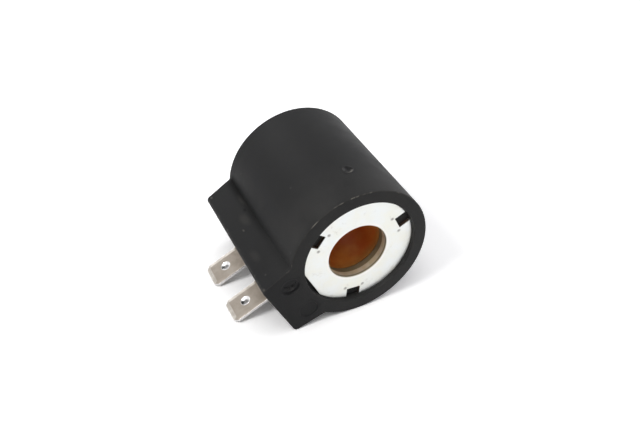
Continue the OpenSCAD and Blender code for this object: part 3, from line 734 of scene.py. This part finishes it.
def makeBobbin():
    # Spool turned about the bore; the rim of each flange is a circle that squares off into a lug towards u
    size = bobbin
    lugCorner = np.degrees(np.arctan2(size["lugHalf"], size["lugReach"]))
    lugRoot = np.degrees(np.arcsin(size["lugHalf"] / size["flangeR"]))
    atLug = np.array([lugCorner, lugRoot, 360 - lugRoot, 360 - lugCorner])
    angle = np.sort(np.concatenate([clearOf(np.arange(0, 360, 2.0), atLug, 0.5), atLug]))
    rim = squaredOff(polar(1, angle), size["flangeR"], size["lugReach"], size["lugHalf"])
    boreR, tubeR, edge, half, window = (size[key] for key in ("boreR", "tubeR", "edge", "half", "window"))
    soft = edge * 0.3
    flange = [(boreR + soft, half - soft), (boreR + edge, half), (rim - edge, half), (rim, half - edge),
              (rim, window + edge), (rim - edge, window), (tubeR, window), (tubeR, window / 3)]
    rows = [(boreR, w) for w in np.linspace(edge - half, half - edge, 14)]
    rows += flange + [(radius, -w) for radius, w in flange[::-1]]
    columns = len(angle)
    uv = polar(stacked(rows, 0, columns), angle)
    w = np.array([row[1] for row in rows])
    points = toRow(uv[..., 0], uv[..., 1], w[:, None]).reshape(-1, 3)
    facing = np.cos(np.radians(angle) - np.radians(size["shadedAngle"]))
    shaded = (np.abs(w) > window)[:, None] * (size["shaded"] + size["shadedSwing"] * facing)
    addPiece("bobbin_spool", "bobbin", "amber_nylon", points, ringFaces(len(rows), columns),
             {"shaded": shaded.ravel()})


makeHousing()
makeBobbin()
for end in ends:
    makePlate(end)
    makeTerminal(end)


# Shader tools
def setInputs(tree, node, values):
    # Sets or links a node's inputs
    for key, value in values.items():
        if isinstance(value, bpy.types.NodeSocket):
            tree.links.new(value, node.inputs[key])
        else:
            node.inputs[key].default_value = value


def put(tree, kind, values=None, **settings):
    # Adds a node, sets its properties, and sets or links its inputs
    made = tree.nodes.new(kind)
    for key, value in settings.items():
        setattr(made, key, value)
    setInputs(tree, made, values or {})
    return made


def placed(tree, group, **values):
    return put(tree, "ShaderNodeGroup", values, node_tree=group).outputs


def newGroup(name, vectors, numbers, outputs):
    # Node group with the sockets of these names
    group = bpy.data.node_groups.new(name, "ShaderNodeTree")
    for way, kind, labels in (("INPUT", "Vector", vectors), ("INPUT", "Float", numbers),
                              ("OUTPUT", "Float", outputs)):
        for label in labels:
            group.interface.new_socket(label, in_out=way, socket_type="NodeSocket" + kind)
    return group, group.nodes.new("NodeGroupInput").outputs, group.nodes.new("NodeGroupOutput").inputs


def ramp(tree, value, low, high):
    # 0 below low, 1 above high, smooth between
    return put(tree, "ShaderNodeMapRange", {"Value": value, "From Min": low, "From Max": high},
               interpolation_type="SMOOTHSTEP").outputs["Result"]


def spanned(tree, value, low, high):
    # Low at 0, high at 1
    return put(tree, "ShaderNodeMapRange", {"Value": value, "To Min": low, "To Max": high}).outputs["Result"]


def noise(tree, vector, scale, detail, rough):
    return put(tree, "ShaderNodeTexNoise", {"Vector": vector, "Scale": scale, "Detail": detail,
                                            "Roughness": rough}).outputs["Fac"]


def calc(tree, operation, first, second):
    return put(tree, "ShaderNodeMath", {0: first, 1: second}, operation=operation).outputs[0]


def times(tree, first, second):
    return calc(tree, "MULTIPLY", first, second)


def plus(tree, first, second):
    return calc(tree, "ADD", first, second)


def larger(tree, first, second):
    return calc(tree, "MAXIMUM", first, second)


def shared(tree, first, second, share):
    # A share of the first and the rest of the second
    return plus(tree, times(tree, first, share), times(tree, second, 1 - share))


def mixColour(tree, fac, first, second):
    first, second = (value if isinstance(value, bpy.types.NodeSocket) else (*value, 1.0)
                     for value in (first, second))
    return put(tree, "ShaderNodeMix", {0: fac, 6: first, 7: second}, data_type="RGBA").outputs[2]


def mark(tree, name):
    return put(tree, "ShaderNodeAttribute", attribute_name=name).outputs["Fac"]


# Grain: a fine speckle over a broad cloudiness, both from 0 to 1
def makeGrain():
    group, given, out = newGroup("surfaceGrain", ["Vector"], ["Fine", "Broad"], ["Speckle", "Cloud"])
    cloud = noise(group, given["Vector"], given["Broad"], 4.0, 0.6)
    group.links.new(noise(group, given["Vector"], given["Fine"], 2.0, 0.6), out["Speckle"])
    group.links.new(ramp(group, cloud, 0.3, 0.7), out["Cloud"])
    return group


# Edge wear and painted highlight: a line where the piece's edge mark is high, a faint painted highlight all
# along and strong where it is rubbed
def makeRubAndShine():
    group, given, out = newGroup("edgeRubAndShine", ["Vector"], ["Edge", "Scale", "Amount", "Faint"], ["Mask"])
    soft = 0.14
    broken = noise(group, given["Vector"], given["Scale"], 4.0, 0.7)
    level = calc(group, "SUBTRACT", 1.0, given["Amount"])
    rubbedShine = ramp(group, broken, level, plus(group, level, soft))
    group.links.new(times(group, larger(group, rubbedShine, given["Faint"]), given["Edge"]), out["Mask"])
    return group


# Spot: a soft round or drawn-out mark at one place, for scuffs and smudges
def makeSpot():
    group, given, out = newGroup("softSpot", ["Vector", "Centre", "Turn", "Size"], [], ["Mask"])
    local = put(group, "ShaderNodeMapping", {"Vector": given["Vector"], "Location": given["Centre"],
                                             "Rotation": given["Turn"], "Scale": given["Size"]},
                vector_type="TEXTURE")
    fall = put(group, "ShaderNodeTexGradient", {"Vector": local.outputs[0]}, gradient_type="SPHERICAL")
    group.links.new(fall.outputs["Fac"], out["Mask"])
    return group


# Specks: small round grains of dust, one in some of the cells
def makeSpecks():
    group, given, out = newGroup("dustSpecks", ["Vector"], ["Scale", "Share"], ["Mask"])
    outside, inside = 0.16, 0.05
    cell = put(group, "ShaderNodeTexVoronoi", {"Vector": given["Vector"], "Scale": given["Scale"]})
    near = ramp(group, cell.outputs["Distance"], outside, inside)
    parts = put(group, "ShaderNodeSeparateColor", {"Color": cell.outputs["Color"]})
    chosen = calc(group, "LESS_THAN", parts.outputs[0], given["Share"])
    group.links.new(times(group, near, chosen), out["Mask"])
    return group


grain, rubAndShine, spot, specks = makeGrain(), makeRubAndShine(), makeSpot(), makeSpecks()


def newMaterial(name, fixed):
    made = bpy.data.materials.new(name)
    made.use_nodes = True
    tree = made.node_tree
    shader = tree.nodes["Principled BSDF"]
    setInputs(tree, shader, fixed)
    return made, tree, shader, put(tree, "ShaderNodeTexCoord").outputs["Object"]


def finished(tree, shader, colour, rough, height, relief):
    # Links what every finish has: colour, roughness, and relief in metres
    bump = put(tree, "ShaderNodeBump", {"Height": height, "Distance": relief, "Strength": 1.0})
    setInputs(tree, shader, {"Base Color": colour, "Roughness": rough, "Normal": bump.outputs["Normal"]})


# Black glass-filled nylon, with a few scuffs on the block's top: place and end as distance out along the
# blades and behind the front face, width, and strength, which is negative for a dark one
nylon = {
    "dark": (0.0036, 0.0036, 0.0038), "pale": (0.0128, 0.013, 0.0138), "handled": (0.023, 0.0226, 0.022),
    # Next: tone of rubbed edges, dust and painted highlights; dark tone of the painted shade in the blend and
    # dark scuffs
    "wornAndShine": (0.13, 0.122, 0.108), "creaseShade": (0.003, 0.003, 0.003), "dust": 0.2,
    "roughness": (0.5, 0.62), "darkRough": 0.35, "polished": 0.3, "relief": 0.00003,
    "scuffs": [((13.3, 26.2), (12.8, 22.0), 0.9, 0.32), ((13.8, 21.6), (13.7, 20.9), 0.7, -0.8),
               ((15.2, 20.4), (14.6, 17.6), 1.5, 0.1), ((17.4, 10.5), (16.9, 7.6), 1.3, 0.07),
               ((19.2, 20.2), (19.2, 19.9), 0.25, 0.5), ((16.4, 17.0), (16.3, 16.5), 0.3, 0.35),
               ((18.6, 31.4), (18.5, 31.1), 0.4, 0.5), ((19.3, 0.8), (19.1, 0.4), 0.5, 0.4)],
    "scuffGrain": 0.6, "scuffEdge": (0.35, 1.1),  # how much a scuff is broken up, and where it fades
}


def blockTop(u, depth):
    # Point on the drafted upper side of the block
    slope = np.tan(np.radians(housing["draft"]))
    return toRow(u, housing["blockHalf"] + slope * (housing["blockReach"] - u), depth - faceW)


def blackNylon():
    made, tree, shader, coords = newMaterial("black_nylon", {"Specular IOR Level": 0.17})
    texture = placed(tree, grain, Vector=coords, Fine=5200.0, Broad=160.0)
    # Rubbed edges with a faint painted highlight along them
    wornAndShine = placed(tree, rubAndShine, Vector=coords, Edge=mark(tree, "edge"), Scale=520.0, Amount=0.5, Faint=0.1)
    dust = placed(tree, specks, Vector=coords, Scale=420.0, Share=0.05)
    light = larger(tree, wornAndShine["Mask"], times(tree, dust["Mask"], nylon["dust"]))
    # Painted highlight: the pale crescent inside each pin pit
    light = larger(tree, light, mark(tree, "pitGlint"))
    # Painted shade in the crease of the blend, joined by the dark scuffs
    dark = mark(tree, "crease")
    broken = times(tree, texture["Speckle"], nylon["scuffGrain"])
    for first, last, wide, strength in nylon["scuffs"]:
        a, b = blockTop(*first), blockTop(*last)
        along = unitOf(b - a)
        across = np.cross(vAxis, along)
        turn = Matrix(np.stack([along, unitOf(across), np.cross(along, across)], axis=1).tolist())
        size = (np.linalg.norm(b - a) * 0.5 + wide * mm, wide * mm, wide * mm)
        scuff = placed(tree, spot, Vector=coords, Centre=(a + b) / 2, Turn=turn.to_euler(), Size=size)["Mask"]
        scuff = times(tree, ramp(tree, plus(tree, scuff, broken), *nylon["scuffEdge"]), abs(strength))
        if strength > 0:
            light = larger(tree, light, scuff)
        else:
            dark = larger(tree, dark, scuff)
    tone = shared(tree, texture["Cloud"], texture["Speckle"], 0.5)
    colour = mixColour(tree, tone, nylon["dark"], nylon["pale"])
    dusty = times(tree, mark(tree, "handled"), spanned(tree, texture["Cloud"], 0.4, 1.0))
    colour = mixColour(tree, dusty, colour, nylon["handled"])
    colour = mixColour(tree, dark, mixColour(tree, light, colour, nylon["wornAndShine"]), nylon["creaseShade"])
    rough = spanned(tree, texture["Cloud"], *nylon["roughness"])
    rough = plus(tree, rough, times(tree, dark, nylon["darkRough"]))
    rough = calc(tree, "SUBTRACT", rough, times(tree, mark(tree, "polish"), nylon["polished"]))
    finished(tree, shader, colour, rough, texture["Speckle"], nylon["relief"])
    return made


# Bright zinc plating, cloudy warm and cool, with bare metal where the punch has cut. The hole's wall is
# tinted with a painted reflection of the amber bore, and the steep part of its rolled edge takes the torn
# wall's dark tone as a painted reflection
zinc = {
    "cool": (0.805, 0.83, 0.825), "warm": (0.825, 0.825, 0.76), "stain": (0.6, 0.58, 0.54),
    # The hole wall's tan and olive tones are partly a painted reflection of the amber bore
    "marks": {"rim": (0.86, 0.85, 0.82), "land": (0.58, 0.5, 0.36), "torn": (0.26, 0.22, 0.135),
              "cut": (0.4, 0.27, 0.2), "stake": (0.4, 0.39, 0.37)},
    "roughness": (0.36, 0.52), "cutRough": 0.25, "relief": 0.00002,
}


def zincPlate():
    made, tree, shader, coords = newMaterial("zinc_plate", {"Metallic": 1.0})
    texture = placed(tree, grain, Vector=coords, Fine=1800.0, Broad=240.0)
    stain = ramp(tree, noise(tree, coords, 620.0, 6.0, 0.7), 0.58, 0.82)
    colour = mixColour(tree, texture["Cloud"], zinc["cool"], zinc["warm"])
    colour = mixColour(tree, stain, colour, zinc["stain"])
    for name, tone in zinc["marks"].items():
        colour = mixColour(tree, mark(tree, name), colour, tone)
    rough = spanned(tree, texture["Cloud"], *zinc["roughness"])
    inHole = plus(tree, mark(tree, "torn"), mark(tree, "land"))
    rough = plus(tree, rough, times(tree, inHole, zinc["cutRough"]))
    finished(tree, shader, colour, rough, texture["Speckle"], zinc["relief"])
    return made


# Matt tinned brass: cloudy, faint rolling marks along the strip, brown towards the block, bright on its edges
# with rub and a painted highlight, and pale cut metal with a painted reflection
tin = {
    "bright": (0.37, 0.33, 0.288), "dull": (0.28, 0.245, 0.208), "brown": (0.185, 0.155, 0.12),
    "edge": (0.72, 0.69, 0.65), "bareShine": (0.84, 0.83, 0.83), "stretch": 9.0, "cloudy": 0.6,
    "roughness": (0.4, 0.54), "polished": 0.25, "relief": 0.00001,
}


def tinnedBrass():
    made, tree, shader, coords = newMaterial("tinned_brass", {"Metallic": 1.0})
    texture = placed(tree, grain, Vector=coords, Fine=2600.0, Broad=420.0)
    along = Matrix(np.stack([uAxis, vAxis, wAxis], axis=1).tolist()).to_euler()
    drawn = put(tree, "ShaderNodeMapping", {"Vector": coords, "Rotation": along,
                                            "Scale": (tin["stretch"], 1, 1)}, vector_type="TEXTURE")
    streak = noise(tree, drawn.outputs[0], 2200.0, 3.0, 0.6)
    tone = shared(tree, texture["Cloud"], streak, tin["cloudy"])
    colour = mixColour(tree, tone, tin["bright"], tin["dull"])
    brown = times(tree, mark(tree, "tarnish"), spanned(tree, texture["Cloud"], 0.6, 1.0))
    colour = mixColour(tree, brown, colour, tin["brown"])
    # Edges: rub and a painted highlight; cut metal: a painted reflection in the coined hole and on the cut
    # sides
    rubbedShine = placed(tree, rubAndShine, Vector=coords, Edge=mark(tree, "edge"), Scale=700.0, Amount=0.6, Faint=0.6)
    colour = mixColour(tree, rubbedShine["Mask"], colour, tin["edge"])
    colour = mixColour(tree, mark(tree, "bareShine"), colour, tin["bareShine"])
    rough = spanned(tree, texture["Cloud"], *tin["roughness"])
    rough = calc(tree, "SUBTRACT", rough, times(tree, mark(tree, "bareShine"), tin["polished"]))
    finished(tree, shader, colour, rough, streak, tin["relief"])
    return made


# Unfilled amber nylon, a little translucent and darker in the shaded ends of the bore
amber = {
    "tones": ((0.5, 0.13, 0.02), (0.64, 0.275, 0.06)), "shaded": (0.16, 0.11, 0.035), "rough": (0.3, 0.45),
    "fixed": {"Specular IOR Level": 0.25, "Subsurface Weight": 0.4, "Subsurface Scale": 0.0015,
              "Subsurface Radius": (1.0, 0.4, 0.15)},
    "fine": 2400.0, "broad": 140.0,
}
# Finishes of the inner pieces: two tones by the grain, share of metal, and roughness
innerFinishes = {
    "rolled_steel": ((0.36, 0.37, 0.39), (0.5, 0.51, 0.53), 1.0, (0.3, 0.48)),
    "enamelled_copper": ((0.48, 0.17, 0.05), (0.66, 0.28, 0.1), 0.8, (0.2, 0.34)),
    "polyester_tape": ((0.66, 0.42, 0.04), (0.78, 0.54, 0.08), 0.0, (0.18, 0.32)),
    "lead_tubing": ((0.7, 0.67, 0.55), (0.84, 0.81, 0.7), 0.0, (0.6, 0.8)),
    "solder": ((0.55, 0.56, 0.58), (0.7, 0.71, 0.73), 1.0, (0.2, 0.38)),
}
plainRelief = 0.00001


def plainFinish(name, tones, rough, fixed, fine=3200.0, broad=300.0, shaded=None):
    made, tree, shader, coords = newMaterial(name, fixed)
    texture = placed(tree, grain, Vector=coords, Fine=fine, Broad=broad)
    colour = mixColour(tree, texture["Cloud"], *tones)
    if shaded:
        colour = mixColour(tree, mark(tree, "shaded"), colour, shaded)
    rough = spanned(tree, texture["Speckle"], *rough)
    finished(tree, shader, colour, rough, texture["Speckle"], plainRelief)
    return made


finishes = {"black_nylon": blackNylon(), "zinc_plate": zincPlate(),
            "amber_nylon": plainFinish("amber_nylon", **amber), "tinned_brass": tinnedBrass()}
for name, (dark, pale, metal, rough) in innerFinishes.items():
    finishes[name] = plainFinish(name, (dark, pale), rough, {"Metallic": metal})
slotOf = {row["node"]: row["material_slot"] for row in frame["record"]["subparts"]}
for name, node in frame["nodes"].items():
    node.data.materials.clear()
    node.data.materials.append(finishes[slotOf[name]])
for piece, slot in pieces:
    piece.data.materials.append(finishes[slot])
print("materials:", len(finishes))


# Floor, light and camera, with lengths in metres. The floor's gains and lift brighten what the camera or a
# mirror sees of it, and it fades to plain white between two distances from the coil.
stageSet = {
    "floorHalf": 1.5, "floorCells": 8, "floorColour": (0.94, 0.94, 0.945),
    "seenGain": 0.35, "mirroredGain": 0.26, "floorLift": 0.05, "fadeFrom": 0.12, "fadeTo": 0.5,
    "worldLight": 0.38,
}


def raysFrom(tree):
    # 1 for rays from the camera, and 1 for those from a reflection or through a clear piece
    path = put(tree, "ShaderNodeLightPath").outputs
    return path["Is Camera Ray"], larger(tree, path["Is Glossy Ray"], path["Is Transmission Ray"])


def makeFloor():
    # Flat square grid on the surface that the coil lies on
    cells = stageSet["floorCells"]
    steps = np.linspace(-stageSet["floorHalf"], stageSet["floorHalf"], cells + 1)
    x, y = np.meshgrid(steps, steps)
    points = np.stack([x, y, np.full_like(x, floorZ)], axis=-1).reshape(-1, 3)
    row, column = np.divmod(np.arange(cells ** 2), cells)
    first = row * (cells + 1) + column
    faces = np.stack([first, first + 1, first + cells + 2, first + cells + 1], axis=1)
    mesh = bpy.data.meshes.new("floor")
    mesh.from_pydata(points.tolist(), [], faces.tolist())
    floor = bpy.data.objects.new("floor", mesh)
    bpy.context.scene.collection.objects.link(floor)
    made, tree, shader, coords = newMaterial("white_floor", {})
    tree.nodes.remove(shader)
    seen, mirrored = raysFrom(tree)
    gain = plus(tree, times(tree, seen, stageSet["seenGain"]),
                times(tree, mirrored, stageSet["mirroredGain"]))
    shown = put(tree, "ShaderNodeVectorMath", {0: stageSet["floorColour"], "Scale": plus(tree, gain, 1.0)},
                operation="SCALE")
    matt = put(tree, "ShaderNodeBsdfDiffuse", {"Color": shown.outputs[0]})
    apart = put(tree, "ShaderNodeVectorMath", {0: coords}, operation="LENGTH").outputs["Value"]
    far = ramp(tree, apart, stageSet["fadeFrom"], stageSet["fadeTo"])
    lift = times(tree, seen, spanned(tree, far, stageSet["floorLift"], 1.0))
    glow = put(tree, "ShaderNodeEmission", {"Strength": lift})
    both = put(tree, "ShaderNodeAddShader", {0: matt.outputs[0], 1: glow.outputs[0]})
    tree.links.new(both.outputs[0], tree.nodes["Material Output"].inputs["Surface"])
    mesh.materials.append(made)


def makeWorld():
    # White where it shows, and dimmer as a light
    world = bpy.data.worlds.new("studio")
    world.use_nodes = True
    bpy.context.scene.world = world
    tree = world.node_tree
    strength = spanned(tree, larger(tree, *raysFrom(tree)), stageSet["worldLight"], 1.0)
    setInputs(tree, tree.nodes["Background"], {"Color": (1, 1, 1, 1), "Strength": strength})


# Lamps, all at one distance: where each light comes from, its size, and its share of a plain white's light
lampsAway = 0.6
lamps = {
    "left": {"azimuth": 191, "elevation": 48, "size": 0.18, "share": 0.27, "colour": (1.0, 0.99, 0.98)},
    "right": {"azimuth": 8, "elevation": 34, "size": 0.45, "share": 0.15, "colour": (0.97, 0.96, 1.0)},
    "top": {"azimuth": 200, "elevation": 80, "size": 0.4, "share": 0.1, "colour": (1.0, 1.0, 1.0)},
    "front": {"azimuth": 250, "elevation": 70, "size": 0.3, "share": 0.12, "colour": (1.0, 1.0, 1.0)},
    "back": {"azimuth": 97, "elevation": 21, "size": 0.2, "share": 0.05, "colour": (1.0, 1.0, 1.0)},
}


def makeLamps():
    for name, look in lamps.items():
        flat, height = polar(1, look["elevation"])
        light = bpy.data.lights.new(name, "AREA")
        light.shape = "SQUARE"
        light.size = look["size"]
        light.energy = look["share"] * (np.pi * lampsAway) ** 2 / height
        light.color = look["colour"]
        lamp = bpy.data.objects.new(name, light)
        lamp.location = lampsAway * np.array([*polar(flat, look["azimuth"]), height])
        lamp.rotation_euler = (-lamp.location).to_track_quat("-Z", "Y").to_euler()
        bpy.context.scene.collection.objects.link(lamp)


# Camera as in the photograph: the middle of the front face lies this far to the right, down and away, in
# millimetres
cameraSet = {"lens": 44.22, "sensor": 36.0, "azimuth": -25.82, "pitch": 39.84,
             "right": 7.991, "down": 8.198, "away": 156.2, "clipStart": 10.0}


def makeCamera():
    turn, pitch = np.radians([cameraSet["azimuth"], cameraSet["pitch"]])
    level = np.array([-np.sin(turn), np.cos(turn), 0])
    up = np.array([0, 0, 1.0])
    right = np.array([np.cos(turn), np.sin(turn), 0])
    forward = np.cos(pitch) * level - np.sin(pitch) * up
    down = -np.sin(pitch) * level - np.cos(pitch) * up
    offset = cameraSet["right"] * right + cameraSet["down"] * down + cameraSet["away"] * forward
    place = (-faceW * wAxis - offset) * mm
    data = bpy.data.cameras.new("camera")
    data.lens = cameraSet["lens"]
    data.sensor_width = cameraSet["sensor"]
    data.clip_start = cameraSet["clipStart"] * mm
    camera = bpy.data.objects.new("camera", data)
    bpy.context.scene.collection.objects.link(camera)
    axes = np.eye(4)
    axes[:3] = np.stack([right, -down, -forward, place], axis=1)
    camera.matrix_world = Matrix(axes.tolist())
    bpy.context.scene.camera = camera


makeFloor()
makeWorld()
makeLamps()
makeCamera()
bpy.context.scene.view_settings.view_transform = "Standard"

print("scene ready")
